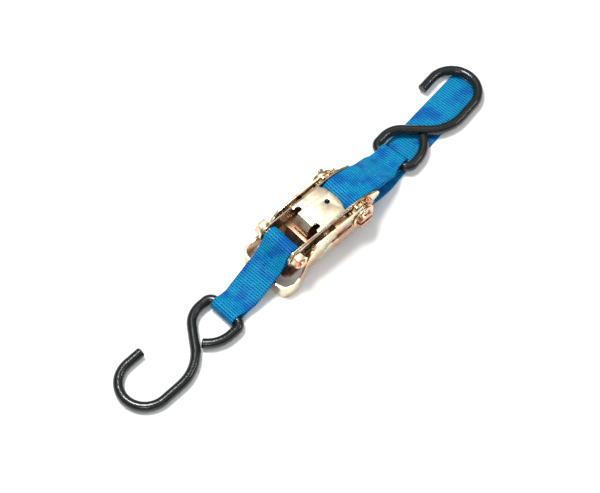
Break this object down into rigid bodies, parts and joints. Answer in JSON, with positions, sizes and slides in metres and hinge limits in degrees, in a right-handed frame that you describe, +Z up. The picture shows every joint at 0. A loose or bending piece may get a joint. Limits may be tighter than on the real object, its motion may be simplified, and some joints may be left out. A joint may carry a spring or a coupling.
{
  "type": "ratchet tie down strap",
  "caption": "Closed ratchet buckle on short webbing with a vinyl-dipped S-hook at each end, its free strap tail lying flat under the far hook.",
  "frame": {"origin": "centre of the bounding box's base, on the ground the part lies on", "axes": "+X along the strap, from the buckle's grip end to its spool end; +Z up, away from the ground"},
  "size_m": [0.3508, 0.0646, 0.0343],
  "materials": {
    "zinc_steel": "yellow zinc plated, bright",
    "wheel_steel": "yellow zinc plated, duller",
    "spring_steel": "bright wire",
    "webbing": "woven polyester, matt",
    "vinyl": "black vinyl dip over steel rod, gloss"
  },
  "bodies": {
    "frame": {"frame": "zinc_steel", "lock_spring": "spring_steel", "anchor_bolt": "zinc_steel", "anchor_nut": "zinc_steel", "anchor_washer": "zinc_steel", "anchor_sleeve": "zinc_steel", "strap_tail": "webbing"},
    "lock": {"lock_plate": "zinc_steel"},
    "spool": {"mandrel_upper": "wheel_steel", "mandrel_lower": "wheel_steel", "ratchet_wheel_far": "wheel_steel", "ratchet_wheel_near": "wheel_steel", "axle_washer_far": "zinc_steel", "axle_washer_near": "zinc_steel", "cotter_pin_far": "zinc_steel", "cotter_pin_near": "zinc_steel", "strap_on_spool": "webbing"},
    "handle": {"handle": "zinc_steel", "pawl_spring": "spring_steel"},
    "pawl": {"release_pawl": "zinc_steel"},
    "fixed_webbing": {"fixed_strap": "webbing"},
    "fixed_hook": {"fixed_end_hook": "vinyl"},
    "main_webbing": {"main_strap": "webbing"},
    "main_hook": {"main_end_hook": "vinyl"}
  },
  "joints": [
    {"name": "handle_swing", "type": "hinge", "parent": "frame", "child": "handle", "pos_m": [0.02786, -0.0062, 0.02154], "axis": [0, -1, 0], "range_deg": [0, 120]},
    {"name": "pawl_slide", "type": "slide", "parent": "handle", "child": "pawl", "axis": [-1, 0, 0], "range_m": [-0.0024, 0.004], "stiffness_N_per_m": 400, "deforming": ["pawl_spring"]},
    {"name": "lock_slide", "type": "slide", "parent": "frame", "child": "lock", "axis": [-1, 0, 0], "range_m": [0, 0.0035], "stiffness_N_per_m": 500, "deforming": ["lock_spring"]},
    {"name": "spool_spin", "type": "hinge", "parent": "frame", "child": "spool", "pos_m": [0.02786, -0.0062, 0.02154], "axis": [0, 1, 0], "continuous": true},
    {"name": "fixed_strap_swing", "type": "hinge", "parent": "frame", "child": "fixed_webbing", "pos_m": [-0.02864, -0.0062, 0.02704], "axis": [0, 1, 0], "range_deg": [0, 60]},
    {"name": "fixed_hook_swing", "type": "hinge", "parent": "fixed_webbing", "child": "fixed_hook", "pos_m": [-0.08144, -0.00888, 0.00529], "axis": [-0.025, 0.9997, 0], "range_deg": [-90, 90]},
    {"name": "main_strap_swing", "type": "hinge", "parent": "frame", "child": "main_webbing", "pos_m": [0.02786, -0.0062, 0.02154], "axis": [0, -1, 0], "range_deg": [0, 30]},
    {"name": "main_hook_swing", "type": "hinge", "parent": "main_webbing", "child": "main_hook", "pos_m": [0.08216, 0.00025, 0.00699], "axis": [0.1483, -0.9889, 0], "range_deg": [0, 90]}
  ]
}
